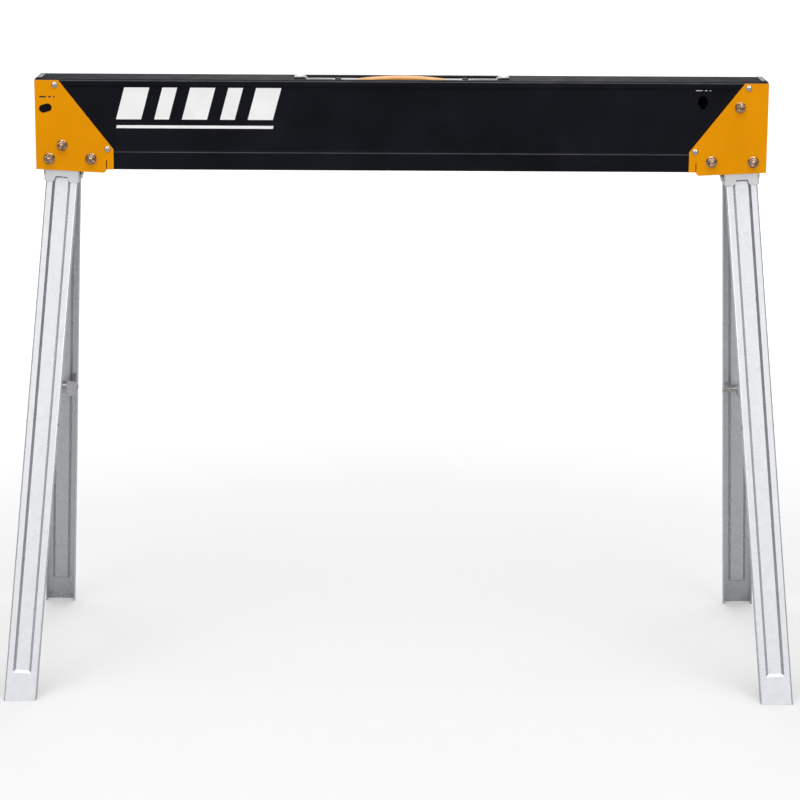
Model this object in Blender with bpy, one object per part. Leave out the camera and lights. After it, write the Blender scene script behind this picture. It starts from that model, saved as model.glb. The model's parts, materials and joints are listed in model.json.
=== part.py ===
"""Folding steel sawhorse: a channel beam on two pairs of folding channel legs.

Metres, +Z up, origin on the floor under the middle of the beam, beam along X.
Each end has a yoke on a pivot bolt across the beam. A front and a back leg
hang on the yoke by hinge pins, and a two-link spreader holds them apart.
"""
import math

import bmesh
import bpy

# Clearances
GAP = 0.0003            # between pieces that touch
RUNNING = 0.0006        # beside a piece that turns
BORE_PLAY = 0.0003      # a hole's radius past its pin's

# Beam, an inverted channel
BEAM_LENGTH = 0.990
BEAM_TOP = 0.813
BEAM_DEPTH = 0.074
WALL_HEIGHT = 0.122
SHEET = 0.0015
BEND = 0.004            # radius of the beam's long top edges
PRESS_DEPTH = 0.0015    # how far the side panels are pressed in
PRESS_SLOPE = 0.0030    # width of the slope round a pressed panel
PRESS_SILL = 0.0236     # lower strip left proud under a panel
PRESS_HEAD = 0.0080     # upper strip left proud
PRESS_CHAMFER = 0.0090  # the panels' lower corners

# Handle
SLOT_LENGTH = 0.263
SLOT_WIDTH = 0.046
SLOT_CORNER = 0.008
STRAP_WIDTH = 0.026
STRAP_THICKNESS = 0.002
STRAP_DROP = 0.0020     # strap's top below the beam's top, inside the slot
STRAP_TAB = 0.014
STRAP_BEND = 0.004
GRIP_LENGTH = 0.143
GRIP_WIDTH = 0.031
GRIP_CROWN = 0.0024     # middle of the grip above the beam's top
GRIP_ARCH = 0.0060      # rise from the grip's ends to its middle
GRIP_KEEL = 0.0075      # grip's underside below the beam's top
SCREW_INSET = 0.0150    # strap screws, outside the grip's ends

# Corner plates
PLATE = 0.002
PLATE_TOP_WIDTH = 0.032
PLATE_FOOT_WIDTH = 0.105
PLATE_TOE_HEIGHT = 0.0275
PLATE_STEP = 0.092
PLATE_STEP_SLOPE = 0.005
PLATE_DROP = 0.0045
PLATE_INSET = 0.0012    # plates' upper edge below the beam's top
PLATE_SLIT = (0.0960, 0.0012, 0.0130)   # place, width and height of the relief slit
TAB_INSET = 0.002
TAB_WIDTH = 0.007
TAB_DEPTH = 0.050
TAB_THICKNESS = 0.0012

# Fixings on a plate: distance in from the beam's end, height over its lower edge
BOLT_PLACES = ((0.018, 0.0145), (0.0745, 0.0145))
RIVET_PLACES = ((0.0270, 0.1145), (0.097, 0.028))
KIDNEY_PLACE = (0.0142, 0.083)
KIDNEY_LENGTH = 0.0175
KIDNEY_WIDTH = 0.0115
KIDNEY_TILT = math.radians(14)
EGG_PLACE = (0.0880, 0.0945)
EGG_WIDTH = 0.0135
EGG_HEIGHT = 0.018
BOLT_RADIUS = 0.003
NUT_RADIUS = 0.0062
NUT_HEIGHT = 0.0046
RIVET_RADIUS = 0.002
RIVET_HEAD = 0.0042
TAIL = 0.0035           # bolts and rivets inside the wall

# Yokes and pivots
PIVOT_INSET = {"left": 0.0358, "right": 0.0378}
PIVOT_HEIGHT = {"left": 0.0328, "right": 0.0886}
PIVOT_RADIUS = 0.004
SPACER_RADIUS = 0.0085
YOKE_HEAD = 0.018       # yoke above its pivot
HINGE_DROP = 0.009      # leg hinge below the beam's lower edge
YOKE_LIP = 0.010        # yoke below the leg hinge
YOKE_CORNER = 0.002
NOTCH_WIDTH = 0.0216
NOTCH_HEIGHT = 0.0072
NOTCH_SLOPE = 0.003

# Legs
LEG_WIDTH = 0.0427
LEG_FLANGE = 0.015
LEG_HEAD = 0.012        # leg above its hinge
LEG_CORNER = 0.0018
PIN_DEPTH = 0.0085      # pins behind the leg's outer face
CLOSED_FACE = 0.0219    # leg's outer face from the middle when closed
FOOT_SPREAD = 0.472
FOOT_OVERHANG = 0.014   # middle of a foot past the beam's end
RIB_WIDTH = 0.0245
RIB_DEPTH = 0.0030
RIB_SLOPE = 0.0035
RIB_END = 0.035         # plain foot below the pressed rib
PIN_RADIUS = 0.003
PIN_HEAD = 0.005
PIN_HEAD_HEIGHT = 0.0022

# Spreaders
SPREADER_DROP = 0.3425  # spreader pins down the leg from its hinge
SPREADER_DEPTH = 0.0102  # spreader pins behind the leg's outer face
LINK_HEIGHT = 0.010
LINK_THICKNESS = 0.003
LINK_SPACE = 0.0008     # between the two links
BRACKET_LEGS = ("back_left", "front_right")
BRACKET_SHEET = 0.0012
BRACKET_BELOW = 0.014
BRACKET_ABOVE = 0.010
BRACKET_SLOT = 0.012
BRACKET_SILL = 0.0095

ROUND = 12              # sides of a round fastener
BEAM_BOTTOM = BEAM_TOP - WALL_HEIGHT
OUTER = BEAM_DEPTH / 2
INNER = OUTER - SHEET
PLATE_FACE = OUTER + GAP + PLATE
HINGE_Y = CLOSED_FACE - PIN_DEPTH
END_SIGN = {"left": -1, "right": 1}

for old in list(bpy.data.objects):
    bpy.data.objects.remove(old, do_unlink=True)


def finish(name, rgb, metallic, roughness):
    """A Principled material."""
    material = bpy.data.materials.new(name)
    material.use_nodes = True
    shader = material.node_tree.nodes["Principled BSDF"]
    shader.inputs["Base Color"].default_value = (*rgb, 1)
    shader.inputs["Metallic"].default_value = metallic
    shader.inputs["Roughness"].default_value = roughness
    material.diffuse_color = (*rgb, 1)
    return material


BLACK = finish("black_powder_coat", (0.012, 0.013, 0.015), 0.0, 0.45)
ORANGE = finish("orange_powder_coat", (0.79, 0.30, 0.0), 0.0, 0.4)
GALVANISED = finish("galvanised_steel", (0.62, 0.63, 0.65), 1.0, 0.35)
ZINC = finish("zinc_plated_steel", (0.55, 0.56, 0.58), 1.0, 0.25)
MOULDED = finish("orange_moulded_grip", (0.70, 0.27, 0.02), 0.0, 0.5)


def add(name, mesh, material, parent=None, place=(0, 0, 0), turn=(0, 0, 0)):
    """An object in the scene, placed under its parent."""
    body = bpy.data.objects.new(name, mesh)
    bpy.context.scene.collection.objects.link(body)
    body.parent = parent
    body.location = place
    body.rotation_euler = turn
    if material:
        mesh.materials.append(material)
    return body


def empty(name, parent, place, turn=(0, 0, 0)):
    return add(name, None, None, parent, place, turn)


def mesh_of(name, points, faces, outward=True):
    """A mesh from points and faces, with its faces turned out if it is closed."""
    mesh = bpy.data.meshes.new(name)
    mesh.from_pydata(points, [], faces)
    if outward:
        form = bmesh.new()
        form.from_mesh(mesh)
        bmesh.ops.recalc_face_normals(form, faces=form.faces)
        form.to_mesh(mesh)
        form.free()
    return mesh


def prism(name, outline, low, high, axis="Y"):
    """An outline run along an axis; its points are (x, z), (y, z) or (x, y)."""
    put = {"Y": lambda a, b, c: (a, c, b), "X": lambda a, b, c: (c, a, b),
           "Z": lambda a, b, c: (a, b, c)}[axis]
    count = len(outline)
    points = [put(a, b, low) for a, b in outline] + [put(a, b, high) for a, b in outline]
    faces = [tuple(range(count)), tuple(range(2 * count - 1, count - 1, -1))]
    faces += [(i, (i + 1) % count, count + (i + 1) % count, count + i) for i in range(count)]
    return mesh_of(name, points, faces)


def ring(radius, height, hexagonal=False):
    """One turn of points about Z, round or six-sided."""
    points = []
    for step in range(ROUND):
        flat = math.cos(math.pi / 6) if hexagonal and step % 2 else 1
        angle = 2 * math.pi * step / ROUND
        points.append((radius * flat * math.cos(angle), radius * flat * math.sin(angle), height))
    return points


def stacked(name, rings, axis, hollow=False):
    """A turned piece from rings (radius, height[, hexagonal]), along an axis."""
    points = [p for one in rings for p in ring(*one)]
    if axis == "Y":
        points = [(x, z, y) for x, y, z in points]
    elif axis == "X":
        points = [(z, x, y) for x, y, z in points]
    faces = []
    levels = len(rings)
    for level in range(levels if hollow else levels - 1):
        below, above = level * ROUND, (level + 1) % levels * ROUND
        for step in range(ROUND):
            after = (step + 1) % ROUND
            faces.append((below + step, below + after, above + after, above + step))
    if not hollow:
        faces.append(tuple(range(ROUND)))
        faces.append(tuple(range((levels - 1) * ROUND, levels * ROUND)))
    return mesh_of(name, points, faces)


def circle(radius, sides=ROUND, at=(0, 0)):
    return [(at[0] + radius * math.cos(2 * math.pi * i / sides),
             at[1] + radius * math.sin(2 * math.pi * i / sides)) for i in range(sides)]


def cut(body, name, outlines, low, high, axis="Y", parent=None):
    """Cuts outlines through a body along an axis, all in one Boolean."""
    form = bmesh.new()
    for outline in outlines:
        form.from_mesh(prism(name, outline, low, high, axis))
    mesh = bpy.data.meshes.new(name)
    form.to_mesh(mesh)
    form.free()
    cutter = add(name, mesh, None, parent if parent else body.parent)
    if not parent:
        cutter.location = body.location
        cutter.rotation_euler = body.rotation_euler
    cutter.hide_render = True
    cutter.display_type = "WIRE"
    modifier = body.modifiers.new(name, "BOOLEAN")
    modifier.operation = "DIFFERENCE"
    modifier.solver = "EXACT"
    modifier.object = cutter


def thicken(body, thickness):
    """Gives an open skin its sheet thickness, inwards."""
    wall = body.modifiers.new("sheet", "SOLIDIFY")
    wall.thickness = thickness
    wall.offset = -1
    wall.use_even_offset = True


def round_edges(body, width, degrees, segments=2):
    """Rounds a body's sharp edges."""
    bevel = body.modifiers.new("bend", "BEVEL")
    bevel.width = width
    bevel.segments = segments
    bevel.limit_method = "ANGLE"
    bevel.angle_limit = math.radians(degrees)


def end_x(end, inset):
    """The place that lies inset from one end of the beam."""
    return END_SIGN[end] * (BEAM_LENGTH / 2 - inset)


def egg(width, height, at):
    """A hole that narrows downwards."""
    points = []
    for x, z in circle(0.5, 16):
        points.append((at[0] + x * width * (1 + 0.35 * z), at[1] + z * height))
    return points


def kidney(end):
    """A tilted slot with round ends."""
    across, up = KIDNEY_PLACE
    reach = (KIDNEY_LENGTH - KIDNEY_WIDTH) / 2
    points = []
    for x, z in circle(KIDNEY_WIDTH / 2, 16):
        x += math.copysign(reach, x)
        u = x * math.cos(KIDNEY_TILT) - z * math.sin(KIDNEY_TILT)
        v = x * math.sin(KIDNEY_TILT) + z * math.cos(KIDNEY_TILT)
        points.append((end_x(end, across) + u, BEAM_BOTTOM + up + v))
    return points


def plate_holes(end):
    """Round holes that a corner plate and the wall behind it share."""
    holes = [circle(BOLT_RADIUS + BORE_PLAY, at=(end_x(end, u), BEAM_BOTTOM + v)) for u, v in BOLT_PLACES]
    holes += [circle(RIVET_RADIUS + BORE_PLAY, at=(end_x(end, u), BEAM_BOTTOM + v)) for u, v in RIVET_PLACES]
    pivot = (end_x(end, PIVOT_INSET[end]), BEAM_BOTTOM + PIVOT_HEIGHT[end])
    holes.append(circle(PIVOT_RADIUS + BORE_PLAY, at=pivot))
    return holes


def press_outline(slope):
    """Outline of a side panel's pressing, slope metres inside its outer edge."""
    toe = BEAM_LENGTH / 2 - PLATE_FOOT_WIDTH
    lean = (PLATE_FOOT_WIDTH - PLATE_TOP_WIDTH) / (WALL_HEIGHT - PLATE_TOE_HEIGHT)
    low = PRESS_SILL + slope
    high = WALL_HEIGHT - PRESS_HEAD - slope
    knee = PRESS_SILL + PRESS_CHAMFER
    half = toe - slope
    upper = half + lean * (high - knee)
    right = [(half - PRESS_CHAMFER, low), (half, knee), (upper, high)]
    return [(-x, z) for x, z in reversed(right)] + right


def make_beam():
    """The beam's outer skin, thickened, then pierced."""
    half = BEAM_LENGTH / 2
    points = []
    faces = []
    for side in (-1, 1):
        base = len(points)
        points += [(x, side * OUTER, BEAM_BOTTOM + z) for x, z in press_outline(0)]
        points += [(x, side * (OUTER - PRESS_DEPTH), BEAM_BOTTOM + z) for x, z in press_outline(PRESS_SLOPE)]
        points += [(x, side * OUTER, z) for x, z in
                   ((-half, BEAM_TOP), (-half, BEAM_BOTTOM), (half, BEAM_BOTTOM), (half, BEAM_TOP))]
        own = [(i, (i + 1) % 6, 6 + (i + 1) % 6, 6 + i) for i in range(6)]
        own += [tuple(range(6, 12)), (12, 13, 2, 1, 0), (13, 14, 3, 2), (14, 15, 5, 4, 3), (15, 12, 0, 5)]
        for face in own:
            face = tuple(base + i for i in face)
            faces.append(face if side < 0 else face[::-1])
    top = (12, 15, 16 + 15, 16 + 12)
    faces.append(top)
    mesh = mesh_of("beam", points, faces, outward=False)
    form = bmesh.new()
    form.from_mesh(mesh)
    long_edges = [e for e in form.edges if len(e.link_faces) == 2
                  and all(abs(v.co.z - BEAM_TOP) < GAP for v in e.verts)]
    bmesh.ops.bevel(form, geom=long_edges, offset=BEND, segments=3, profile=0.5, affect="EDGES")
    form.to_mesh(mesh)
    form.free()
    beam = add("beam", mesh, BLACK)
    thicken(beam, SHEET)
    slot = []
    for x, y in circle(SLOT_CORNER, 16):
        slot.append((x + math.copysign(SLOT_LENGTH / 2 - SLOT_CORNER, x),
                     y + math.copysign(SLOT_WIDTH / 2 - SLOT_CORNER, y)))
    cut(beam, "slot_cutter", [slot], BEAM_TOP - BEND, BEAM_TOP + BEND, "Z")
    holes = []
    for end in ("left", "right"):
        holes += plate_holes(end)
    cut(beam, "wall_cutter", holes, -BEAM_DEPTH, BEAM_DEPTH)
    hanging_hole = egg(EGG_WIDTH, EGG_HEIGHT, (end_x("right", EGG_PLACE[0]), BEAM_BOTTOM + EGG_PLACE[1]))
    cut(beam, "egg_cutter", [hanging_hole], -BEAM_DEPTH, 0)
    strap_holes = [circle(BOLT_RADIUS, at=(x, 0)) for x in tab_centres()]
    cut(beam, "tab_cutter", strap_holes, BEAM_TOP - BEND, BEAM_TOP + BEND, "Z")


def tab_centres():
    """Where the strap's end tabs are riveted to the beam's top."""
    reach = SLOT_LENGTH / 2 + STRAP_TAB / 2 + STRAP_BEND / 2
    return (-reach, reach)


def make_handle():
    """Strap over the slot, its arched grip and two screws."""
    high = BEAM_TOP + GAP + STRAP_THICKNESS
    low = BEAM_TOP - STRAP_DROP
    inside = SLOT_LENGTH / 2 - STRAP_BEND
    outside = SLOT_LENGTH / 2 + GAP
    right = [(inside, low), (outside, high), (outside + STRAP_TAB, high),
             (outside + STRAP_TAB, high - STRAP_THICKNESS), (outside - 2 * GAP, high - STRAP_THICKNESS),
             (inside + STRAP_THICKNESS / 2, low - STRAP_THICKNESS)]
    outline = [(-x, z) for x, z in reversed(right)] + right
    strap = add("handle_strap", prism("handle_strap", outline, -STRAP_WIDTH / 2, STRAP_WIDTH / 2), GALVANISED)
    screw_x = GRIP_LENGTH / 2 + SCREW_INSET
    cut(strap, "strap_cutter", [circle(RIVET_RADIUS + BORE_PLAY, at=(x, 0)) for x in (-screw_x, screw_x)],
        low - 2 * STRAP_THICKNESS, BEAM_TOP + STRAP_THICKNESS, "Z")
    steps = 12
    crown = []
    for i in range(steps + 1):
        x = GRIP_LENGTH * (0.5 - i / steps)
        crown.append((x, BEAM_TOP + GRIP_CROWN - GRIP_ARCH * (2 * x / GRIP_LENGTH) ** 2))
    keel = BEAM_TOP - GRIP_KEEL
    outline = [(-GRIP_LENGTH / 2, keel), (GRIP_LENGTH / 2, keel)] + crown
    grip = add("handle_grip", prism("handle_grip", outline, -GRIP_WIDTH / 2, GRIP_WIDTH / 2), MOULDED)
    round_edges(grip, 0.0015, 50)
    play = STRAP_WIDTH / 2 + GAP
    tunnel = [(-play, low - STRAP_THICKNESS - GAP), (play, low - STRAP_THICKNESS - GAP),
              (play, low + GAP), (-play, low + GAP)]
    cut(grip, "grip_cutter", [tunnel], -GRIP_LENGTH, GRIP_LENGTH, "X")
    for end, x in (("left", -screw_x), ("right", screw_x)):
        head = low + GAP
        rings = [(RIVET_RADIUS, low - STRAP_THICKNESS - 0.0015), (RIVET_RADIUS, head), (0.0045, head),
                 (0.0042, head + 0.0012), (0.0028, head + 0.0019)]
        add("handle_screw_" + end, stacked("handle_screw", rings, "Z"), ZINC, None, (x, 0, 0))


def make_plate(end, side, label):
    """One corner plate with its bolts and rivets; side is -1 in front, 1 behind."""
    high = WALL_HEIGHT - PLATE_INSET
    outline = [(0, high), (PLATE_TOP_WIDTH, high), (PLATE_FOOT_WIDTH, PLATE_TOE_HEIGHT),
               (PLATE_FOOT_WIDTH, 0), (PLATE_STEP + PLATE_STEP_SLOPE, 0), (PLATE_STEP, -PLATE_DROP), (0, 0)]
    outline = [(end_x(end, u), BEAM_BOTTOM + v) for u, v in outline]
    faces = sorted((side * (OUTER + GAP), side * PLATE_FACE))
    plate = add("corner_plate_" + label, prism("corner_plate", outline, *faces), ORANGE)
    holes = plate_holes(end)
    if end == "left":
        holes.append(kidney(end))
    place, width, height = PLATE_SLIT
    slit = ((place - width, -PLATE_DROP), (place, -PLATE_DROP), (place, height), (place - width, height))
    holes.append([(end_x(end, u), BEAM_BOTTOM + v) for u, v in slit])
    cut(plate, "plate_cutter_" + label, holes, *sorted((side * INNER, side * (PLATE_FACE + PLATE))))
    face = PLATE_FACE + GAP
    inside = INNER - TAIL
    for number, (u, v) in enumerate(BOLT_PLACES, 1):
        rings = [(BOLT_RADIUS, side * inside), (BOLT_RADIUS, side * face), (NUT_RADIUS, side * face),
                 (NUT_RADIUS, side * (face + 0.001)), (NUT_RADIUS * 0.9, side * (face + 0.0012), True),
                 (NUT_RADIUS * 0.9, side * (face + NUT_HEIGHT), True),
                 (BOLT_RADIUS, side * (face + NUT_HEIGHT + 0.0004)),
                 (BOLT_RADIUS, side * (face + NUT_HEIGHT + 0.0014))]
        add(f"plate_bolt_{label}_{number}", stacked("plate_bolt", rings, "Y"), ZINC, None,
            (end_x(end, u), 0, BEAM_BOTTOM + v))
    for number, (u, v) in enumerate(RIVET_PLACES, 1):
        rings = [(RIVET_RADIUS, side * (INNER - TAIL / 2)), (RIVET_RADIUS, side * face),
                 (RIVET_HEAD, side * face),
                 (RIVET_HEAD * 0.85, side * (face + 0.0010)), (RIVET_HEAD * 0.45, side * (face + 0.0016))]
        add(f"plate_rivet_{label}_{number}", stacked("plate_rivet", rings, "Y"), ZINC, None,
            (end_x(end, u), 0, BEAM_BOTTOM + v))


def make_end_tab(end):
    """Small strip that caps the beam's top at its end."""
    low, high = sorted((end_x(end, TAB_INSET), end_x(end, TAB_INSET + TAB_WIDTH)))
    base = BEAM_TOP + GAP
    outline = [(low, base), (high, base), (high, base + TAB_THICKNESS), (low, base + TAB_THICKNESS)]
    add("end_tab_" + end, prism("end_tab", outline, -TAB_DEPTH / 2, TAB_DEPTH / 2), GALVANISED)


def leg_angles(end):
    """Lean of a leg pair outwards and splay of each leg, in radians."""
    pivot_z = BEAM_BOTTOM + PIVOT_HEIGHT[end]
    lean = math.atan((FOOT_OVERHANG + PIVOT_INSET[end]) / pivot_z)
    drop = pivot_z / math.cos(lean) - PIVOT_HEIGHT[end] - HINGE_DROP
    spread = FOOT_SPREAD / 2 - HINGE_Y
    splay = math.acos(PIN_DEPTH / math.hypot(spread, drop)) - math.atan2(drop, spread)
    return lean, splay, drop


def make_pivot(end, yoke_face):
    """Pivot bolt from behind, its nut in front and the two spacers beside the yoke."""
    x, z = end_x(end, PIVOT_INSET[end]), BEAM_BOTTOM + PIVOT_HEIGHT[end]
    face = PLATE_FACE + GAP
    thread = face + NUT_HEIGHT + 0.002
    rings = [(PIVOT_RADIUS, -thread), (PIVOT_RADIUS, face), (NUT_RADIUS * 1.1, face, True),
             (NUT_RADIUS * 1.1, face + 0.0045, True), (NUT_RADIUS * 0.9, face + 0.0050)]
    add("pivot_bolt_" + end, stacked("pivot_bolt", rings, "Y"), ZINC, None, (x, 0, z))
    bore = PIVOT_RADIUS + BORE_PLAY
    rings = [(NUT_RADIUS * 1.1, -face), (NUT_RADIUS * 1.1, -face - 0.001), (NUT_RADIUS, -face - 0.0012, True),
             (NUT_RADIUS, -face - NUT_HEIGHT, True), (bore, -face - NUT_HEIGHT), (bore, -face)]
    add("pivot_nut_" + end, stacked("pivot_nut", rings, "Y", hollow=True), ZINC, None, (x, 0, z))
    for label, side in (("front", -1), ("back", 1)):
        near, far = side * (yoke_face + GAP), side * (INNER - GAP)
        rings = [(SPACER_RADIUS, near), (SPACER_RADIUS, far), (bore, far), (bore, near)]
        spacer = stacked("pivot_spacer", rings, "Y", hollow=True)
        add(f"pivot_spacer_{label}_{end}", spacer, ZINC, None, (x, 0, z))


def make_yoke(end, frame, splay):
    """Rectangular sleeve that turns on the pivot and carries both legs."""
    half_width = LEG_WIDTH / 2 + RUNNING + SHEET
    reach = HINGE_Y + PIN_DEPTH / math.cos(splay) + YOKE_LIP * math.tan(splay) + GAP
    half_depth = reach + SHEET
    hinge = PIVOT_HEIGHT[end] + HINGE_DROP
    low = -hinge - YOKE_LIP
    points = []
    corners = ((-1, -1), (1, -1), (1, 1), (-1, 1))
    for z in (low, YOKE_HEAD):
        points += [(a * half_width, b * half_depth, z) for a, b in corners]
    walls = [(i, (i + 1) % 4, 4 + (i + 1) % 4, 4 + i) for i in range(4)]
    skin = mesh_of("yoke", points, walls, outward=False)
    yoke = add("yoke_" + end, skin, GALVANISED, frame)
    bevel = bmesh.new()
    bevel.from_mesh(skin)
    upright = [e for e in bevel.edges if len(e.link_faces) == 2]
    bmesh.ops.bevel(bevel, geom=upright, offset=YOKE_CORNER, segments=2, profile=0.5, affect="EDGES")
    bevel.to_mesh(skin)
    bevel.free()
    thicken(yoke, SHEET)
    notch = [(-NOTCH_WIDTH / 2, low - SHEET), (NOTCH_WIDTH / 2, low - SHEET), (NOTCH_WIDTH / 2, low),
             (NOTCH_WIDTH / 2 - NOTCH_SLOPE, low + NOTCH_HEIGHT),
             (NOTCH_SLOPE - NOTCH_WIDTH / 2, low + NOTCH_HEIGHT), (-NOTCH_WIDTH / 2, low)]
    cut(yoke, "yoke_cutter_" + end, [notch, circle(PIVOT_RADIUS + BORE_PLAY)], -BEAM_DEPTH, BEAM_DEPTH)
    pins = [circle(PIN_RADIUS + BORE_PLAY, at=(side * HINGE_Y, -hinge)) for side in (-1, 1)]
    cut(yoke, "hinge_cutter_" + end, pins, -LEG_WIDTH, LEG_WIDTH, "X")
    return half_depth


def pin_rings(half_length):
    """A headed pin across X, centred."""
    head = PIN_HEAD_HEIGHT
    return [(PIN_HEAD * 0.7, -half_length - head), (PIN_HEAD, -half_length - head / 2),
            (PIN_HEAD, -half_length),
            (PIN_RADIUS, -half_length), (PIN_RADIUS, half_length), (PIN_HEAD, half_length),
            (PIN_HEAD, half_length + head / 2), (PIN_HEAD * 0.7, half_length + head)]


def make_leg(label, frame, length):
    """One channel leg in its hinge's frame, running down, outer face at -Y."""
    half, face, tip = LEG_WIDTH / 2, -PIN_DEPTH, LEG_FLANGE - PIN_DEPTH
    rib, floor = RIB_WIDTH / 2, RIB_WIDTH / 2 - RIB_SLOPE
    level = -length + RIB_END + RIB_SLOPE
    pressed = [(-half, tip), (-half, face), (-rib, face), (-floor, face + RIB_DEPTH),
               (floor, face + RIB_DEPTH), (rib, face), (half, face), (half, tip)]
    plain = [(-half, tip), (-half, face), (-rib, face), (rib, face), (half, face), (half, tip)]
    points = [(x, y, LEG_HEAD) for x, y in pressed]
    points += [(x, y, level) for x, y in pressed]
    points += [(x, y, level - RIB_SLOPE) for x, y in plain]
    points += [(x, y, -length - RIB_END) for x, y in plain]
    faces = [(i + 8, i + 9, i + 1, i) for i in range(7)]
    faces += [(16, 17, 9, 8), (17, 18, 10, 9), (18, 11, 10), (18, 19, 12, 11), (19, 13, 12), (19, 20, 14, 13),
              (20, 21, 15, 14)]
    faces += [(i + 22, i + 23, i + 17, i + 16) for i in range(5)]
    leg = add("leg_" + label, mesh_of("leg", points, faces, outward=False), GALVANISED, frame)
    round_edges(leg, LEG_CORNER, 80)
    thicken(leg, SHEET)
    bores = ((0, 0), (SPREADER_DEPTH - PIN_DEPTH, -SPREADER_DROP))
    holes = [circle(PIN_RADIUS + BORE_PLAY, at=place) for place in bores]
    cut(leg, "leg_cutter_" + label, holes, -LEG_WIDTH, LEG_WIDTH, "X")
    below = [(-BEAM_LENGTH, -BEAM_TOP), (BEAM_LENGTH, -BEAM_TOP), (BEAM_LENGTH, 0), (-BEAM_LENGTH, 0)]
    floor_guide = empty("floor_" + label, None, (0, 0, 0))
    cut(leg, "floor_cutter_" + label, [below], -FOOT_SPREAD, FOOT_SPREAD, "Y", floor_guide)


def make_bracket(label, leg_frame):
    """Slotted strip across a leg's open side at its spreader pin."""
    wide = LEG_WIDTH / 2 - SHEET - GAP
    slot = BRACKET_SLOT / 2
    outline = [(-wide, -BRACKET_BELOW), (wide, -BRACKET_BELOW), (wide, BRACKET_ABOVE), (slot, BRACKET_ABOVE),
               (slot, -BRACKET_SILL), (-slot, -BRACKET_SILL), (-slot, BRACKET_ABOVE), (-wide, BRACKET_ABOVE)]
    mouth = LEG_FLANGE - PIN_DEPTH - GAP
    bracket = prism("spreader_bracket", outline, mouth - BRACKET_SHEET, mouth)
    add("spreader_bracket_" + label, bracket, GALVANISED, leg_frame, (0, 0, -SPREADER_DROP))


def make_spreader(label, leg_frame, splay):
    """Pin and link on one leg; the front link carries the rivet."""
    behind = SPREADER_DEPTH - PIN_DEPTH
    place = (0, behind, -SPREADER_DROP)
    pin = stacked("spreader_pin", pin_rings(LEG_WIDTH / 2 + GAP), "X")
    add("spreader_pin_" + label, pin, ZINC, leg_frame, place)
    if label in BRACKET_LEGS:
        make_bracket(label, leg_frame)
    reach = HINGE_Y + SPREADER_DROP * math.sin(splay) - behind * math.cos(splay)
    radius = LINK_HEIGHT / 2
    outline = []
    for y, z in circle(radius, 16):
        outline.append((y + (reach if y > 0 else 0), z))
    near = LINK_SPACE / 2
    link_frame = empty("link_frame_" + label, leg_frame, place, (splay, 0, 0))
    link = add("spreader_link_" + label, prism("spreader_link", outline, near, near + LINK_THICKNESS, "X"),
               GALVANISED, link_frame)
    eyes = [circle(PIN_RADIUS + BORE_PLAY, at=(y, 0)) for y in (0, reach)]
    cut(link, "link_cutter_" + label, eyes, -LINK_HEIGHT, LINK_HEIGHT, "X")
    if label.startswith("front"):
        far = near + LINK_THICKNESS + GAP
        rings = [(PIN_RADIUS, near / 2), (PIN_RADIUS, far), (PIN_HEAD, far),
                 (PIN_HEAD, far + PIN_HEAD_HEIGHT / 2), (PIN_HEAD * 0.7, far + PIN_HEAD_HEIGHT)]
        rivet = stacked("spreader_rivet", rings, "X")
        add("spreader_rivet_" + label[6:], rivet, ZINC, link_frame, (0, reach, 0))


def make_end(end):
    """Everything that folds at one end of the beam, with its pivot."""
    lean, splay, drop = leg_angles(end)
    place = (end_x(end, PIVOT_INSET[end]), 0, BEAM_BOTTOM + PIVOT_HEIGHT[end])
    yoke_frame = empty("yoke_frame_" + end, None, place, (0, -END_SIGN[end] * lean, 0))
    yoke_face = make_yoke(end, yoke_frame, splay)
    make_pivot(end, yoke_face)
    hinge = -PIVOT_HEIGHT[end] - HINGE_DROP
    for label, side in (("front", -1), ("back", 1)):
        name = f"{label}_{end}"
        pin = stacked("hinge_pin", pin_rings(LEG_WIDTH / 2 + RUNNING + SHEET + GAP), "X")
        add("hinge_pin_" + name, pin, ZINC, yoke_frame, (0, side * HINGE_Y, hinge))
        facing = 0 if side < 0 else math.pi
        leg_frame = empty("leg_frame_" + name, yoke_frame, (0, side * HINGE_Y, hinge), (-splay, 0, facing))
        make_leg(name, leg_frame, drop / math.cos(splay))
        make_spreader(name, leg_frame, splay)


make_beam()
make_handle()
for end_name in ("left", "right"):
    for side_name, side_sign in (("front", -1), ("back", 1)):
        make_plate(end_name, side_sign, f"{side_name}_{end_name}")
    make_end_tab(end_name)
    make_end(end_name)
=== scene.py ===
import json
import math

import bpy
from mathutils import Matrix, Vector


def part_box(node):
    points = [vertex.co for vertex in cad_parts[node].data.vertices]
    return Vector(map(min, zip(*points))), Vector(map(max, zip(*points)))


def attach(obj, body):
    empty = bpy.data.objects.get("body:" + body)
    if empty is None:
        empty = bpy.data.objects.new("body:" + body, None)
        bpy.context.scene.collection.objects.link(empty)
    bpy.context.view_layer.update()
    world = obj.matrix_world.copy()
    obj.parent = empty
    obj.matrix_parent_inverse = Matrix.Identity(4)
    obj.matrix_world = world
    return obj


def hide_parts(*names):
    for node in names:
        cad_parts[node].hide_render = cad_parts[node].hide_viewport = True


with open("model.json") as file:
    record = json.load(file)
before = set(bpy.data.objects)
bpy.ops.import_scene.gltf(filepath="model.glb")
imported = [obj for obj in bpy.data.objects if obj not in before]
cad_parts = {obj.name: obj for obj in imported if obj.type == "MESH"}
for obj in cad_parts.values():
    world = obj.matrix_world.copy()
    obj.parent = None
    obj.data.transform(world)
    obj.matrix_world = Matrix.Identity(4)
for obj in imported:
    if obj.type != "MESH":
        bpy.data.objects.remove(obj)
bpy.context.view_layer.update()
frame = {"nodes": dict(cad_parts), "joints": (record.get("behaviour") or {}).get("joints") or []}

# Folding sawhorse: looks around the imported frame, in metres
mm = 0.001
ends = {"left": -1, "right": 1}
sides = {"front": -1, "back": 1}
joints = {joint["name"]: joint for joint in frame["joints"]}


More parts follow.
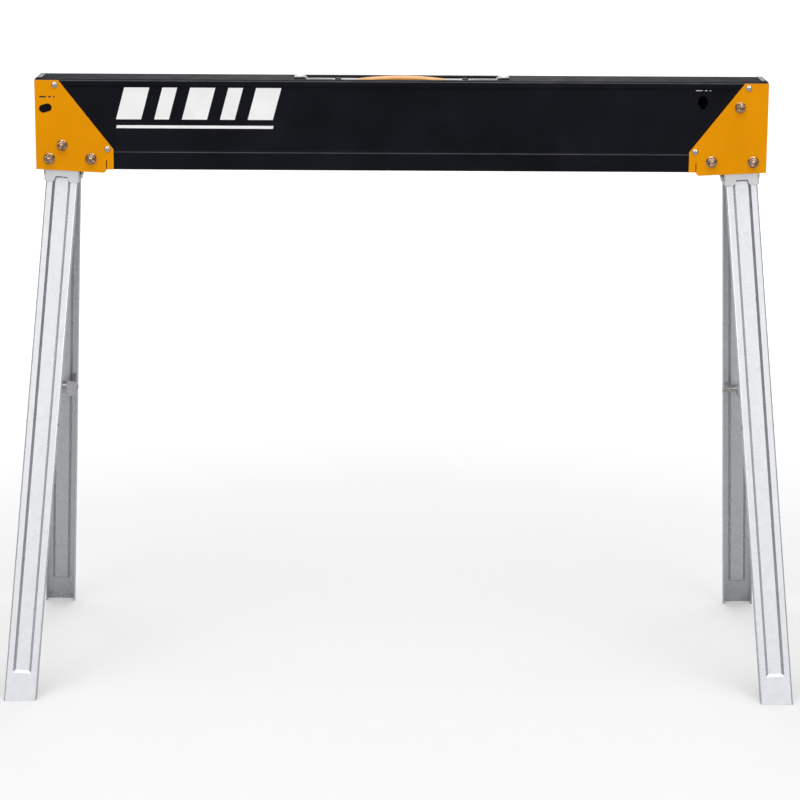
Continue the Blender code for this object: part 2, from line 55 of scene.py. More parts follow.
def hexColour(text):
    # sRGB hex to linear
    values = [int(text[i:i + 2], 16) / 255 for i in (1, 3, 5)]
    return [v / 12.92 if v <= 0.04045 else ((v + 0.055) / 1.055) ** 2.4 for v in values] + [1.0]


def boxMiddle(node):
    low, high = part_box(node)
    return (low + high) / 2


# Camera, light and floor
view = {"place": (0.0, -3.806, 1.248), "down": 13.09, "roll": 0.30, "lens": 125.9,
        "sensor": 36, "reach": 300}
floorLook = {"size": 80, "colour": "#d2d2d2", "bounce": "#b4b4b4", "glowNear": 0.14, "glowFar": 0.6,
             "near": 0.9, "far": 3.2, "under": 0.2 * mm, "rough": 0.9, "gloss": 0.1}
skyLook = {"front": "#ffffff", "flank": "#17181a", "from": 0.55, "to": 0.8, "strength": 1.15,
           "back": "#a4a4a4", "backFrom": 0.55, "backTo": 0.85}
lamps = {
    "overhead": {"place": (0.0, -0.7, 3.2), "aim": (0, 0, 0.4), "size": 3.0, "power": 40},
    "frontLeft": {"place": (-2.2, -3.6, 2.0), "aim": (0, 0, 0.5), "size": 1.8, "power": 16},
    "frontRight": {"place": (2.2, -3.6, 2.0), "aim": (0, 0, 0.5), "size": 1.8, "power": 16},
    "behind": {"place": (0.0, 3.6, 2.2), "aim": (0, 0, 0.5), "size": 2.2, "power": 30}}


def addNode(tree, kind, links=None, **settings):
    # one shader node, its settings and what feeds its sockets
    node = tree.nodes.new(kind)
    for key, value in settings.items():
        if key in node.inputs and not hasattr(node, key):
            node.inputs[key].default_value = value
        else:
            setattr(node, key, value)
    for socket, source in (links or {}).items():
        target = node.inputs[socket]
        if hasattr(source, "is_output"):
            tree.links.new(source, target)
        else:
            target.default_value = source
    return node


def setCamera():
    bpy.ops.object.camera_add(location=view["place"])
    camera = bpy.context.object
    camera.name = "viewCamera"
    camera.data.lens = view["lens"]
    camera.data.sensor_width = view["sensor"]
    camera.data.clip_end = view["reach"]
    camera.rotation_mode = "ZYX"  # roll first, then tilt
    camera.rotation_euler = (math.radians(90 - view["down"]), 0, math.radians(view["roll"]))
    bpy.context.scene.camera = camera
    bpy.context.scene.view_settings.view_transform = "Standard"  # keeps white paper white and orange strong


def setLamps():
    for name, lamp in lamps.items():
        bpy.ops.object.light_add(type="AREA", location=lamp["place"])
        light = bpy.context.object
        light.name = name
        light.data.shape = "DISK"
        light.data.size = lamp["size"]
        light.data.energy = lamp["power"]
        aim = Vector(lamp["aim"]) - Vector(lamp["place"])
        light.rotation_euler = aim.to_track_quat("-Z", "Y").to_euler()


def setSky():
    # white studio, greyer to the flanks so that folds in the sheet metal read
    world = bpy.data.worlds.new("studio")
    bpy.context.scene.world = world
    world.use_nodes = True
    tree = world.node_tree
    tree.nodes.clear()
    place = addNode(tree, "ShaderNodeTexCoord")
    split = addNode(tree, "ShaderNodeSeparateXYZ", {"Vector": place.outputs["Generated"]})
    flank = addNode(tree, "ShaderNodeMath", {0: split.outputs["X"]}, operation="ABSOLUTE")
    ramp = addNode(tree, "ShaderNodeMapRange", {"Value": flank.outputs[0], "From Min": skyLook["from"],
                                                "From Max": skyLook["to"]})
    blend = addNode(tree, "ShaderNodeMix", {"Factor": ramp.outputs[0]}, data_type="RGBA")
    blend.inputs["A"].default_value = hexColour(skyLook["front"])
    blend.inputs["B"].default_value = hexColour(skyLook["flank"])
    rear = addNode(tree, "ShaderNodeMapRange", {"Value": split.outputs["Y"],
                                                "From Min": skyLook["backFrom"],
                                                "From Max": skyLook["backTo"]})
    whole = addNode(tree, "ShaderNodeMix", {"Factor": rear.outputs[0]}, data_type="RGBA")
    tree.links.new(blend.outputs["Result"], whole.inputs["A"])
    whole.inputs["B"].default_value = hexColour(skyLook["back"])
    glow = addNode(tree, "ShaderNodeBackground", {"Color": whole.outputs["Result"],
                                                  "Strength": skyLook["strength"]})
    addNode(tree, "ShaderNodeOutputWorld", {"Surface": glow.outputs[0]})


def setFloor():
    bpy.ops.mesh.primitive_plane_add(size=floorLook["size"], location=(0, 0, -floorLook["under"]))
    floor = bpy.context.object
    floor.name = "studioFloor"
    paper = bpy.data.materials.new("whitePaperSweep")
    paper.use_nodes = True
    tree = paper.node_tree
    tree.nodes.clear()
    # seen white, but bounces less light up, as a small sheet in a dark studio does
    path = addNode(tree, "ShaderNodeLightPath")
    place = addNode(tree, "ShaderNodeTexCoord").outputs["Object"]
    away = addNode(tree, "ShaderNodeVectorMath", {0: place}, operation="LENGTH")
    glow = addNode(tree, "ShaderNodeMapRange", {
        "Value": away.outputs["Value"], "From Min": floorLook["near"], "From Max": floorLook["far"],
        "To Min": floorLook["glowNear"], "To Max": floorLook["glowFar"]})
    white = addNode(tree, "ShaderNodeBsdfPrincipled", {
        "Base Color": hexColour(floorLook["colour"]), "Roughness": floorLook["rough"],
        "Specular IOR Level": floorLook["gloss"], "Emission Color": hexColour("#ffffff"),
        "Emission Strength": glow.outputs[0]})
    grey = addNode(tree, "ShaderNodeBsdfDiffuse", {"Color": hexColour(floorLook["bounce"])})
    seen = addNode(tree, "ShaderNodeMixShader", {0: path.outputs["Is Camera Ray"], 1: grey.outputs[0],
                                                 2: white.outputs[0]})
    addNode(tree, "ShaderNodeOutputMaterial", {"Surface": seen.outputs[0]})
    floor.data.materials.append(paper)


setCamera()
setLamps()
setSky()
setFloor()
print("camera, lamps and floor set")

# Materials


def newMaterial(name, colour, roughness, metallic=0.0):
    material = bpy.data.materials.new(name)
    material.use_nodes = True
    shader = material.node_tree.nodes["Principled BSDF"]
    shader.inputs["Base Color"].default_value = hexColour(colour)
    shader.inputs["Roughness"].default_value = roughness
    shader.inputs["Metallic"].default_value = metallic
    return material, material.node_tree, shader


def patternScale(sizeMm):
    # cycles per metre for a pattern whose cells are sizeMm across
    return 1000.0 / sizeMm


def mottle(tree, place, sizeMm, low, high, detail=3.0):
    # soft noise mapped between two values
    noise = addNode(tree, "ShaderNodeTexNoise", {"Vector": place, "Scale": patternScale(sizeMm),
                                                 "Detail": detail})
    return addNode(tree, "ShaderNodeMapRange", {"Value": noise.outputs["Fac"], "From Min": 0.3,
                                                "From Max": 0.7, "To Min": low, "To Max": high}).outputs[0]


def shadeBetween(tree, factor, first, second):
    mix = addNode(tree, "ShaderNodeMix", {"Factor": factor}, data_type="RGBA")
    mix.inputs["A"].default_value = hexColour(first)
    mix.inputs["B"].default_value = hexColour(second)
    return mix.outputs["Result"]


def bumpFrom(tree, height, depthMm, strength=1.0):
    return addNode(tree, "ShaderNodeBump", {"Height": height, "Distance": depthMm * mm,
                                            "Strength": strength}).outputs["Normal"]


bendHighlightLine = {"patch": 35, "core": 0.3 * mm, "fade": 0.9 * mm}


def paintedBendHighlights(tree, place, base, bright, heights):
    # painted highlight: a lighter line along long bends at the given heights, about a millimetre wide, broken
    # into patches
    height = addNode(tree, "ShaderNodeSeparateXYZ", {"Vector": place}).outputs["Z"]
    patches = mottle(tree, place, sizeMm=bendHighlightLine["patch"], low=0.55, high=1.0)
    for level in heights:
        offset = addNode(tree, "ShaderNodeMath", {0: height, 1: level}, operation="SUBTRACT")
        away = addNode(tree, "ShaderNodeMath", {0: offset.outputs[0]}, operation="ABSOLUTE")
        line = addNode(tree, "ShaderNodeMapRange", {"Value": away.outputs[0], "From Min": bendHighlightLine["core"],
                                                    "From Max": bendHighlightLine["fade"], "To Min": 1.0,
                                                    "To Max": 0.0})
        share = addNode(tree, "ShaderNodeMath", {0: line.outputs[0], 1: patches}, operation="MULTIPLY")
        mix = addNode(tree, "ShaderNodeMix", {"Factor": share.outputs[0]}, data_type="RGBA")
        tree.links.new(base, mix.inputs["A"])
        mix.inputs["B"].default_value = hexColour(bright)
        base = mix.outputs["Result"]
    return base


def powderCoat(name, dark, light, roughLow, roughHigh, gloss, highlightHeights=(), highlightColour="#505155"):
    # sprayed and baked polyester powder: orange peel about 2.5 mm across, fine grain under it
    material, tree, shader = newMaterial(name, dark, roughLow)
    place = addNode(tree, "ShaderNodeTexCoord").outputs["Object"]
    colour = shadeBetween(tree, mottle(tree, place, sizeMm=60, low=0, high=1), dark, light)
    # painted highlight lines along the bends at the given heights
    tree.links.new(paintedBendHighlights(tree, place, colour, highlightColour, highlightHeights), shader.inputs["Base Color"])
    tree.links.new(mottle(tree, place, sizeMm=24, low=roughLow, high=roughHigh), shader.inputs["Roughness"])
    peel = addNode(tree, "ShaderNodeTexNoise", {"Vector": place, "Scale": patternScale(2.5), "Detail": 2.0})
    tree.links.new(bumpFrom(tree, peel.outputs["Fac"], depthMm=0.06, strength=0.5), shader.inputs["Normal"])
    shader.inputs["Specular IOR Level"].default_value = gloss
    return material


def galvanisedSheet(name, dark, light, roughLow, roughHigh):
    # hot-dip zinc on rolled strip: faint spangle 9 mm across and mill lines along the strip
    material, tree, shader = newMaterial(name, light, roughLow, metallic=0.78)
    place = addNode(tree, "ShaderNodeTexCoord").outputs["Object"]
    flake = addNode(tree, "ShaderNodeTexVoronoi", {"Vector": place, "Scale": patternScale(9)})
    grey = addNode(tree, "ShaderNodeRGBToBW", {"Color": flake.outputs["Color"]})
    tree.links.new(shadeBetween(tree, grey.outputs[0], dark, light), shader.inputs["Base Color"])
    tree.links.new(mottle(tree, place, sizeMm=16, low=roughLow, high=roughHigh), shader.inputs["Roughness"])
    stretch = addNode(tree, "ShaderNodeMapping", {"Vector": place})
    stretch.inputs["Scale"].default_value = (1, 1, 0.04)  # lines run up the strip
    mill = addNode(tree, "ShaderNodeTexNoise", {"Vector": stretch.outputs[0], "Scale": patternScale(1.2),
                                                "Detail": 2.0})
    tree.links.new(bumpFrom(tree, mill.outputs["Fac"], depthMm=0.006, strength=0.15), shader.inputs["Normal"])
    return material


def platedSteel(name, dark, light, roughLow, roughHigh):
    # bright zinc plating over cold-formed steel: barely mottled, small dents
    material, tree, shader = newMaterial(name, light, roughLow, metallic=1.0)
    place = addNode(tree, "ShaderNodeTexCoord").outputs["Object"]
    colour = shadeBetween(tree, mottle(tree, place, sizeMm=4, low=0, high=1), dark, light)
    tree.links.new(colour, shader.inputs["Base Color"])
    tree.links.new(mottle(tree, place, sizeMm=3, low=roughLow, high=roughHigh), shader.inputs["Roughness"])
    dents = addNode(tree, "ShaderNodeTexNoise", {"Vector": place, "Scale": patternScale(1.5)})
    tree.links.new(bumpFrom(tree, dents.outputs["Fac"], depthMm=0.03, strength=0.4), shader.inputs["Normal"])
    return material


def mouldedPlastic(name, dark, light, roughLow, roughHigh, grainMm):
    # injection moulded, spark-eroded grain
    material, tree, shader = newMaterial(name, dark, roughLow)
    place = addNode(tree, "ShaderNodeTexCoord").outputs["Object"]
    colour = shadeBetween(tree, mottle(tree, place, sizeMm=30, low=0, high=1), dark, light)
    tree.links.new(colour, shader.inputs["Base Color"])
    tree.links.new(mottle(tree, place, sizeMm=12, low=roughLow, high=roughHigh), shader.inputs["Roughness"])
    grain = addNode(tree, "ShaderNodeTexNoise", {"Vector": place, "Scale": patternScale(grainMm)})
    tree.links.new(bumpFrom(tree, grain.outputs["Fac"], depthMm=0.08, strength=0.5), shader.inputs["Normal"])
    return material


beamBase, beamCrown = (corner.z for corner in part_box("beam"))
sillHeight = 23.6 * mm  # proud strip under each pressed side panel
glintDrop = 1.6 * mm  # the beam's upper bend, below its top
# painted highlights along the sill and along the beam's upper bend
blackCoat = powderCoat("blackPowderCoat", "#141519", "#1a1b20", roughLow=0.46, roughHigh=0.56, gloss=0.008,
                       highlightHeights=(beamBase + sillHeight, beamCrown - glintDrop))
orangeCoat = powderCoat("orangePowderCoat", "#e09000", "#e89600", roughLow=0.36, roughHigh=0.44, gloss=0.05)
zincSheet = galvanisedSheet("galvanisedSheet", "#cdcfd2", "#d3d5d8", roughLow=0.26, roughHigh=0.31)
# painted light: a much lighter copy of the legs' galvanised sheet, lifting the yoke caps to a brighter tone
yokeSheetPaintedLight = galvanisedSheet("paintedLightYokeSheet", "#f0f1f3", "#f6f7f8", roughLow=0.3, roughHigh=0.35)
# the strap's zinc is set much darker than the legs' galvanised sheet
strapSheet = galvanisedSheet("darkStrapSheet", "#5c5f61", "#74777a", roughLow=0.3, roughHigh=0.4)
zincPlate = platedSteel("zincPlatedSteel", "#b4aca4", "#cfcac4", roughLow=0.12, roughHigh=0.2)
# yellow-passivated plating; the wide dark-to-light mottle is partly painted highlight and shade on the nut
# faces
nutZincAndPaintedGlints = platedSteel("yellowZincAndPaintedGlints", "#64442f", "#d6b89c", roughLow=0.1, roughHigh=0.2)
endCapZinc = platedSteel("dullZincStrip", "#5f6462", "#6e7371", roughLow=0.4, roughHigh=0.5)
gripPlastic = mouldedPlastic("orangeMouldedGrip", "#c4862c", "#cf9238", roughLow=0.5, roughHigh=0.6,
                             grainMm=0.8)
nylon = mouldedPlastic("blackNylon", "#18181a", "#222225", roughLow=0.45, roughHigh=0.55, grainMm=1.0)
whiteInk = mouldedPlastic("whiteScreenInk", "#ececec", "#f4f4f4", roughLow=0.45, roughHigh=0.55, grainMm=1.2)


def dress(node, material):
    frame["nodes"][node].data.materials.clear()
    frame["nodes"][node].data.materials.append(material)


for node in frame["nodes"]:
    if node == "beam":
        dress(node, blackCoat)
    elif node.startswith("corner_plate"):
        dress(node, orangeCoat)
    elif node == "handle_grip":
        dress(node, gripPlastic)
    elif node.startswith("pivot_spacer"):
        dress(node, nylon)
    elif node.startswith("end_tab"):
        dress(node, endCapZinc)
    elif node.startswith("yoke_"):
        dress(node, yokeSheetPaintedLight)
    elif node.startswith(("leg_", "spreader_link", "spreader_bracket")):
        dress(node, zincSheet)
    else:
        dress(node, zincPlate)
print("materials on the frame")

# Modelling helpers


def primitive(kind, name, **where):
    # a fresh primitive, alone in the selection
    bpy.ops.object.select_all(action="DESELECT")
    getattr(bpy.ops.mesh, "primitive_" + kind + "_add")(**where)
    piece = bpy.context.object
    piece.name = name
    bpy.ops.object.transform_apply(location=True, rotation=True, scale=True)
    return piece


def turned(name, profile, steps=40):
    # a profile of (radius, height) points spun round Z
    mesh = bpy.data.meshes.new(name)
    mesh.from_pydata([(r, 0, z) for r, z in profile], [(i, i + 1) for i in range(len(profile) - 1)], [])
    piece = bpy.data.objects.new(name, mesh)
    bpy.context.scene.collection.objects.link(piece)
    bpy.ops.object.select_all(action="DESELECT")
    bpy.context.view_layer.objects.active = piece
    piece.select_set(True)
    bpy.ops.object.mode_set(mode="EDIT")
    bpy.ops.mesh.select_all(action="SELECT")
    bpy.ops.mesh.spin(steps=steps, angle=2 * math.pi, center=(0, 0, 0), axis=(0, 0, 1))
    bpy.ops.mesh.select_all(action="SELECT")
    bpy.ops.mesh.remove_doubles(threshold=1e-6)
    bpy.ops.mesh.normals_make_consistent(inside=False)
    bpy.ops.object.mode_set(mode="OBJECT")
    return piece


def bevelled(piece, width, segments=2, degrees=30):
    bpy.context.view_layer.objects.active = piece
    bevel = piece.modifiers.new("edge", "BEVEL")
    bevel.width = width
    bevel.segments = segments
    bevel.limit_method = "ANGLE"
    bevel.angle_limit = math.radians(degrees)
    bpy.ops.object.modifier_apply(modifier=bevel.name)
    return piece


def smoothed(piece, degrees=35):
    bpy.ops.object.select_all(action="DESELECT")
    bpy.context.view_layer.objects.active = piece
    piece.select_set(True)
    bpy.ops.object.shade_smooth_by_angle(angle=math.radians(degrees))
    return piece


def joined(name, pieces):
    bpy.ops.object.select_all(action="DESELECT")
    for piece in pieces:
        piece.select_set(True)
    bpy.context.view_layer.objects.active = pieces[0]
    bpy.ops.object.join()
    bpy.context.object.name = name
    return bpy.context.object


def copied(original, name, place, along=(0, 0, 1)):
    # its own mesh, turned so that Z runs along, with the place applied
    piece = original.copy()
    piece.data = original.data.copy()
    piece.name = name
    bpy.context.scene.collection.objects.link(piece)
    piece.location = place
    piece.rotation_mode = "QUATERNION"
    piece.rotation_quaternion = Vector(along).to_track_quat("Z", "Y")
    bpy.ops.object.select_all(action="DESELECT")
    bpy.context.view_layer.objects.active = piece
    piece.select_set(True)
    bpy.ops.object.transform_apply(location=True, rotation=True, scale=True)
    return piece


def finished(piece, material, body, slot, *nodes):
    piece.data.materials.clear()
    piece.data.materials.append(material)
    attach(piece, body)
    if nodes:
        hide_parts(*nodes)
    return piece


def throwAway(*pieces):
    for piece in pieces:
        bpy.data.objects.remove(piece, do_unlink=True)


# Fasteners, all made pointing along +Z with their seat at 0
flangeNut = {"flange": 7.6, "flangeThick": 1.1, "across": 6.6, "top": 4.7, "thread": 2.9, "proud": 6.2}
nutShape = {"rim": 0.35, "chamfer": 0.35, "pitch": 1.0,
            "groove": 0.7, "collarFoot": 0.3, "collarSide": 0.9, "collarTop": 1.3, "collarLip": 1.2}
plateRivet = {"height": 1.6 * mm, "shank": 2.0 * mm}
domeSteps = ((0, 1), (0.55, 0.95), (0.85, 0.7), (1, 0.3), (1, 0))  # shares of a pin head's radius and height


def threadProfile(radius, start, stop, pitch):
    # ridges of a metric thread, coarse enough to catch the light
    points = [(radius * 0.86, start)]
    count = max(1, round((stop - start) / pitch))
    for turn in range(count):
        base = start + turn * (stop - start) / count
        points += [(radius * 0.86, base + pitch * 0.1), (radius, base + pitch * 0.45),
                   (radius, base + pitch * 0.6)]
    return points + [(radius * 0.8, stop), (0, stop + 0.2 * mm)]


def makeNut(size, name, shankDepth):
    # flange, six flats with chamfered corners, lock ring and the bolt's threaded end
    rim, thick, across, top = size["flange"], size["flangeThick"], size["across"], size["top"]
    flange = turned(name + "Flange", [(0, 0), (rim * mm, 0), (rim * mm, nutShape["rim"] * mm),
                                      (across * mm, thick * mm), (0, thick * mm)])
    height = top - thick
    flats = primitive("cylinder", name + "Flats", vertices=6, radius=across * mm, depth=height * mm,
                      location=(0, 0, (thick + height / 2) * mm))
    bevelled(flats, nutShape["chamfer"] * mm, segments=3)
    groove = size["thread"] + nutShape["groove"]  # open ring between the nut and the bolt's end
    foot = top - nutShape["collarFoot"]
    ring = ((groove, foot), (across * 0.8, foot), (across * 0.78, top + nutShape["collarSide"]),
            (across * 0.7, top + nutShape["collarTop"]), (groove, top + nutShape["collarLip"]),
            (groove, foot))
    collar = turned(name + "Collar", [(r * mm, z * mm) for r, z in ring])
    thread = turned(name + "Thread", [(0, -shankDepth), (size["thread"] * 0.9 * mm, -shankDepth)]
                    + threadProfile(size["thread"] * mm, 0, size["proud"] * mm, nutShape["pitch"] * mm))
    return smoothed(joined(name, [flats, flange, collar, thread]))


def makeRivet(name, head, headHeight, shank, shankDepth):
    # low dome, slightly flat in the middle
    profile = [(0, -shankDepth), (shank, -shankDepth), (shank, 0), (head, 0), (head, headHeight * 0.15)]
    for step in range(1, 6):
        angle = math.radians(90 * step / 6)
        profile.append((head * math.cos(angle), headHeight * (0.15 + 0.85 * math.sin(angle))))
    profile.append((0, headHeight))
    return smoothed(turned(name, profile), degrees=40)


def makeHeadedPin(name, half, radius, head, headHeight):
    # plain shank, a domed head at both ends
    profile = [(head * r, -half - headHeight * h) for r, h in domeSteps] + [(radius, -half)]
    profile += [(r, -z) for r, z in reversed(profile)]
    return smoothed(turned(name, profile), degrees=40)


seatGap = 0.3 * mm  # under each flange, so that it doesn't share the plate's face
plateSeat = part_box("corner_plate_front_left")[0].y  # outer face of the front plates
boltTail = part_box("plate_bolt_front_left_1")[1].y - (plateSeat - seatGap)
plainNut = makeNut(flangeNut, "flangeNut", boltTail)
rivetLow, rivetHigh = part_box("plate_rivet_front_left_1")
plainRivet = makeRivet("domeRivet", (rivetHigh.x - rivetLow.x) / 2, plateRivet["height"], plateRivet["shank"],
                       rivetHigh.y - (plateSeat - seatGap))


def fastenPlates():
    for sideName, side in sides.items():
        for endName in ends:
            for number in (1, 2):
                tag = f"{sideName}_{endName}_{number}"
                middle = boxMiddle("plate_bolt_" + tag)
                seat = (middle.x, -side * (plateSeat - seatGap), middle.z)
                nut = copied(plainNut, "flangeNut_" + tag, seat, (0, side, 0))
                finished(nut, nutZincAndPaintedGlints, "beam", "zinc", "plate_bolt_" + tag)
                middle = boxMiddle("plate_rivet_" + tag)
                seat = (middle.x, -side * (plateSeat - seatGap), middle.z)
                rivet = copied(plainRivet, "domeRivet_" + tag, seat, (0, side, 0))
                finished(rivet, zincPlate, "beam", "zinc", "plate_rivet_" + tag)


fastenPlates()
throwAway(plainNut, plainRivet)
print("plate bolts and rivets")

# Pivot bolts: nut in front, hex head behind
pivotBolt = {"flange": 7.2, "flangeThick": 1.0, "across": 6.4, "top": 4.9, "thread": 3.2, "proud": 6.4,
             "headAcross": 6.6, "headHeight": 4.4, "headEdge": 0.5, "washer": 6.9, "washerThick": 0.5,
             "shank": 4.0, "tip": 3.6, "tipLength": 0.4, "nutTail": 0.5}
pivotSpacer = {"bore": 4.3 * mm, "edge": 0.6 * mm}


def makePivot(endName):
    middle = boxMiddle("pivot_bolt_" + endName)
    face = -(plateSeat - seatGap)
    length = 2 * face
    front = makeNut(pivotBolt, "pivotNutFront", pivotBolt["nutTail"] * mm)
    nut = copied(front, "pivotNut_" + endName, (middle.x, -face, middle.z), (0, -1, 0))
    finished(nut, nutZincAndPaintedGlints, "beam", "zinc", "pivot_nut_" + endName)
    head = primitive("cylinder", "pivotHead", vertices=6, radius=pivotBolt["headAcross"] * mm,
                     depth=pivotBolt["headHeight"] * mm, location=(0, 0, pivotBolt["headHeight"] / 2 * mm))
    bevelled(head, pivotBolt["headEdge"] * mm, segments=3)
    shank, washer, thick = (pivotBolt[key] * mm for key in ("shank", "washer", "washerThick"))
    shaft = turned("pivotShaft", [(0, -length), (pivotBolt["tip"] * mm, -length),
                                  (shank, -length + pivotBolt["tipLength"] * mm), (shank, 0),
                                  (washer, 0), (washer, thick), (0, thick)], steps=48)
    bolt = smoothed(joined("pivotBolt", [head, shaft]))
    placed = copied(bolt, "pivotBolt_" + endName, (middle.x, face, middle.z), (0, 1, 0))
    finished(placed, zincPlate, "beam", "zinc", "pivot_bolt_" + endName)
    throwAway(front, bolt)
    for sideName in sides:
        node = f"pivot_spacer_{sideName}_{endName}"
        low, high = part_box(node)
        outer, inner, width = (high.x - low.x) / 2, pivotSpacer["bore"], high.y - low.y
        edge = pivotSpacer["edge"]
        tube = turned("spacer", [(inner, 0), (outer - edge, 0), (outer, edge), (outer, width - edge),
                                 (outer - edge, width), (inner, width), (inner, 0)], steps=48)
        ring = copied(smoothed(tube), f"pivotSpacer_{sideName}_{endName}", (middle.x, low.y, middle.z),
                      (0, 1, 0))
        finished(ring, nylon, "beam", "spacer", node)
        throwAway(tube)


for endName in ends:
    makePivot(endName)
print("pivots")

# Hinge pins, spreader pins and the spreaders' middle rivets
pinLook = {"radius": 3.0, "clearance": 0.4, "head": 5.0, "headHeight": 2.1,
           "smallHead": 3.9, "smallHeight": 0.9}
midRivet = {"head": 5.0, "height": 2.0, "shank": 2.8, "depth": 3.2, "front": 0.9, "back": 5.8}


def makePins(endName):
    for sideName in sides:
        tag = f"{sideName}_{endName}"
        along = joints["splay_" + tag]["axis"]
        for node, body, title, head, height in (
                (f"hinge_pin_{tag}", f"yoke_{endName}", "hingePin_", "head", "headHeight"),
                (f"spreader_pin_{tag}", f"leg_{tag}", "spreaderPin_", "smallHead", "smallHeight")):
            low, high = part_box(node)
            half = (high.x - low.x) / 2 - pinLook["headHeight"] * mm - pinLook["clearance"] * mm
            pin = makeHeadedPin("pin", half, pinLook["radius"] * mm, pinLook[head] * mm, pinLook[height] * mm)
            placed = copied(pin, title + tag, boxMiddle(node), along)
            finished(placed, zincPlate, body, "zinc", node)
            throwAway(pin)
    along = Vector(joints["splay_front_" + endName]["axis"])
    node = "spreader_rivet_" + endName
    middle = boxMiddle(node)
    rivet = makeRivet("midRivet", *(midRivet[key] * mm for key in ("head", "height", "shank", "depth")))
    placed = copied(rivet, "spreaderRivet_" + endName, middle + along * midRivet["front"] * mm, along)
    finished(placed, zincPlate, f"link_front_{endName}", "zinc", node)
    tail = copied(rivet, "spreaderRivetTail_" + endName, middle - along * midRivet["back"] * mm, -along)
    finished(tail, zincPlate, f"link_back_{endName}", "zinc")
    throwAway(rivet)


for endName in ends:
    makePins(endName)
print("pins")

# Carry handle: strap with pressed beads, arched grip, two screws, two tab rivets
handle = {"bead": (19.0, 5.0, 1.3), "beadShift": 4.0, "strapDrop": 4.3, "strapEdge": 0.5,
          "ridges": 21, "ridgeDepth": 0.35, "gripEdge": 1.2, "gripCuts": 63, "archFall": 3.6, "sideFall": 1.2}
screwLook = {"shank": 1.9, "headTop": 1.9,
             "head": ((4.4, 0), (4.4, 0.5), (3.9, 1.2), (2.6, 1.7), (1.5, 1.8), (1.2, 0.9), (0, 0.9))}
tabRivet = {"head": 3.6, "height": 0.1, "shank": 1.8, "depth": 3.0, "inset": 7.0, "sunk": 0.02}


def makeStrap():
    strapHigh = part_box("handle_strap")[1]
    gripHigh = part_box("handle_grip")[1]
    source = frame["nodes"]["handle_strap"]
    strap = source.copy()
    strap.data = source.data.copy()
    strap.parent = None
    strap.name = "handleStrap"
    bpy.context.scene.collection.objects.link(strap)
    bpy.ops.object.select_all(action="DESELECT")
    bpy.context.view_layer.objects.active = strap
    strap.select_set(True)
    bpy.ops.object.mode_set(mode="EDIT")
    bpy.ops.mesh.select_all(action="SELECT")
    bpy.ops.mesh.remove_doubles(threshold=1e-6)
    bpy.ops.mesh.dissolve_limited(angle_limit=math.radians(1))
    bpy.ops.object.mode_set(mode="OBJECT")
    bevelled(strap, handle["strapEdge"] * mm, segments=3, degrees=25)
    beads = []
    level = strapHigh.z - handle["strapDrop"] * mm  # the strap's top inside the slot
    length, width, height = handle["bead"]
    for side in (-1, 1):
        middle = side * (strapHigh.x + gripHigh.x + handle["beadShift"] * mm) / 2
        bead = primitive("uv_sphere", "bead", segments=32, ring_count=12, radius=1,
                         scale=(length * mm, width * mm, height * mm), location=(middle, 0, level))
        beads.append(bead)
    strap = smoothed(joined("handleStrap", [strap] + beads))
    return finished(strap, strapSheet, "beam", "galvanised", "handle_strap")


def makeGrip():
    low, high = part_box("handle_grip")
    length, width = high.x - low.x, high.y - low.y
    grip = primitive("cube", "handleGrip", size=1, location=(0, 0, (low.z + high.z) / 2),
                     scale=(length, width, high.z - low.z))
    bpy.ops.object.mode_set(mode="EDIT")
    bpy.ops.mesh.select_all(action="SELECT")
    bpy.ops.mesh.subdivide(number_cuts=handle["gripCuts"])
    bpy.ops.object.mode_set(mode="OBJECT")
    arch = high.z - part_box("beam")[1].z + handle["archFall"] * mm
    span = high.z - low.z
    for vertex in grip.data.vertices:
        along = 2 * vertex.co.x / length
        across = 2 * vertex.co.y / width
        share = (vertex.co.z - low.z) / span
        crown = high.z - arch * along ** 2 - handle["sideFall"] * mm * across ** 4
        if abs(along) < 0.9:  # shallow finger ridges, none at the two ends
            wave = 0.5 - 0.5 * math.cos(along * math.pi * handle["ridges"])
            crown -= handle["ridgeDepth"] * mm * wave
        vertex.co.z = low.z + share * (crown - low.z)
    bevelled(grip, handle["gripEdge"] * mm, segments=3, degrees=60)
    return finished(smoothed(grip, degrees=50), gripPlastic, "beam", "grip", "handle_grip")


def makeHandleFixings():
    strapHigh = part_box("handle_strap")[1]
    shank = screwLook["shank"] * mm
    for endName, side in ends.items():
        node = "handle_screw_" + endName
        low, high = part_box(node)
        top = high.z - screwLook["headTop"] * mm
        screw = turned("screw", [(0, low.z - top), (shank, low.z - top), (shank, 0)]
                       + [(r * mm, z * mm) for r, z in screwLook["head"]])
        placed = copied(smoothed(screw), "handleScrew_" + endName, (boxMiddle(node).x, 0, top))
        finished(placed, nylon, "beam", "zinc", node)
        rivet = makeRivet("tabRivet", *(tabRivet[key] * mm for key in ("head", "height", "shank", "depth")))
        placed = copied(rivet, "tabRivet_" + endName, (side * (strapHigh.x - tabRivet["inset"] * mm), 0,
                                                       strapHigh.z - tabRivet["sunk"] * mm))
        finished(placed, zincPlate, "beam", "zinc")
        throwAway(screw, rivet)


makeStrap()
makeGrip()
makeHandleFixings()
print("handle")

# Plain printed bars on both side panels
panelDepth = 1.5 * mm  # the beam's side panels are pressed in by this
graphic = {"start": -386, "stop": -162, "low": 56, "high": 112, "bars": (34, 20, 34, 20, 34), "slant": 12,
           "line": 4, "lineSlant": 1, "foot": 12, "thick": 0.12, "edge": 0.04}


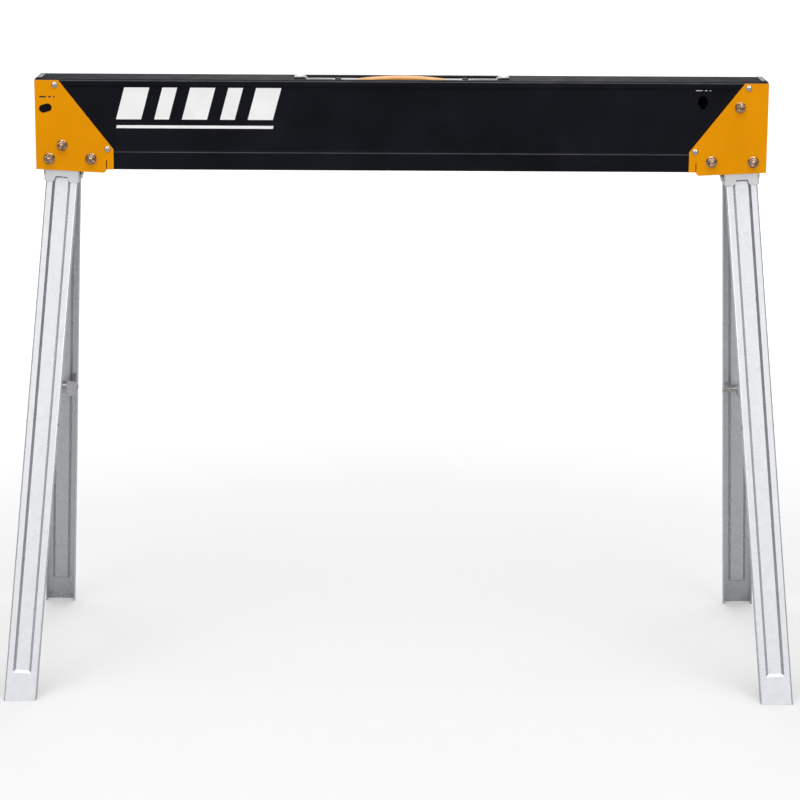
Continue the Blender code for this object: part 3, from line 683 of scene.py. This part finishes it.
def makeGraphic(sideName, side):
    beamLow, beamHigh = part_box("beam")
    depth = (beamHigh.y - panelDepth) * side
    low, slant, start = graphic["low"], graphic["slant"], graphic["start"]
    spare = graphic["stop"] - start - slant - sum(graphic["bars"])
    gap = spare / (len(graphic["bars"]) - 1)
    boxes = []
    for width in graphic["bars"]:
        boxes.append((start, start + width, low + graphic["foot"], graphic["high"], slant))
        start += width + gap
    boxes.append((graphic["start"], graphic["stop"] - slant, low, low + graphic["line"],
                  graphic["lineSlant"]))
    bars = []
    for left, right, foot, top, lean in boxes:
        bar = primitive("cube", "bar", size=1, location=(0, depth + side * graphic["thick"] / 2 * mm, 0),
                        scale=(1, graphic["thick"] * mm, 1))
        for vertex in bar.data.vertices:
            upper = vertex.co.z > 0
            x = (right if vertex.co.x > 0 else left) + (lean if upper else 0)
            vertex.co.x = -side * x * mm
            vertex.co.z = beamLow.z + (top if upper else foot) * mm
        bars.append(bar)
    bars = joined("printedBars_" + sideName, bars)
    bpy.ops.object.mode_set(mode="EDIT")
    bpy.ops.mesh.select_all(action="SELECT")
    bpy.ops.mesh.normals_make_consistent(inside=False)
    bpy.ops.object.mode_set(mode="OBJECT")
    bevelled(bars, graphic["edge"] * mm, segments=1)
    finished(bars, whiteInk, "beam", "spacer")


# Small plain marks over the two holes
marks = {"blocks": ((0.0, 9.0), (12.0, 15.5), (18.5, 20.5)), "height": 2.2, "thick": 0.1, "edge": 0.03,
         "onPlate": {"inset": 6.4, "level": 98.5}, "onBeam": {"inset": 98.0, "level": 111.5}}


def makeMarks(name, left, face, level, material):
    # three short dashes a twentieth of a millimetre proud of the coat
    dashes = []
    for start, stop in marks["blocks"]:
        wide = (stop - start) * mm
        dash = primitive("cube", "dash", size=1, location=(left + start * mm + wide / 2, face, level),
                         scale=(wide, marks["thick"] * mm, marks["height"] * mm))
        dashes.append(bevelled(dash, marks["edge"] * mm, segments=1))
    finished(joined(name, dashes), material, "beam", "spacer")


onPlate, onBeam = marks["onPlate"], marks["onBeam"]
makeMarks("smallMarksPlate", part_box("corner_plate_front_left")[0].x + onPlate["inset"] * mm, plateSeat,
          beamBase + onPlate["level"] * mm, nylon)
makeMarks("smallMarksBeam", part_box("beam")[1].x - onBeam["inset"] * mm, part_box("beam")[0].y + panelDepth,
          beamBase + onBeam["level"] * mm, whiteInk)
print("small marks")

for sideName, side in sides.items():
    makeGraphic(sideName, side)
print("printed bars")
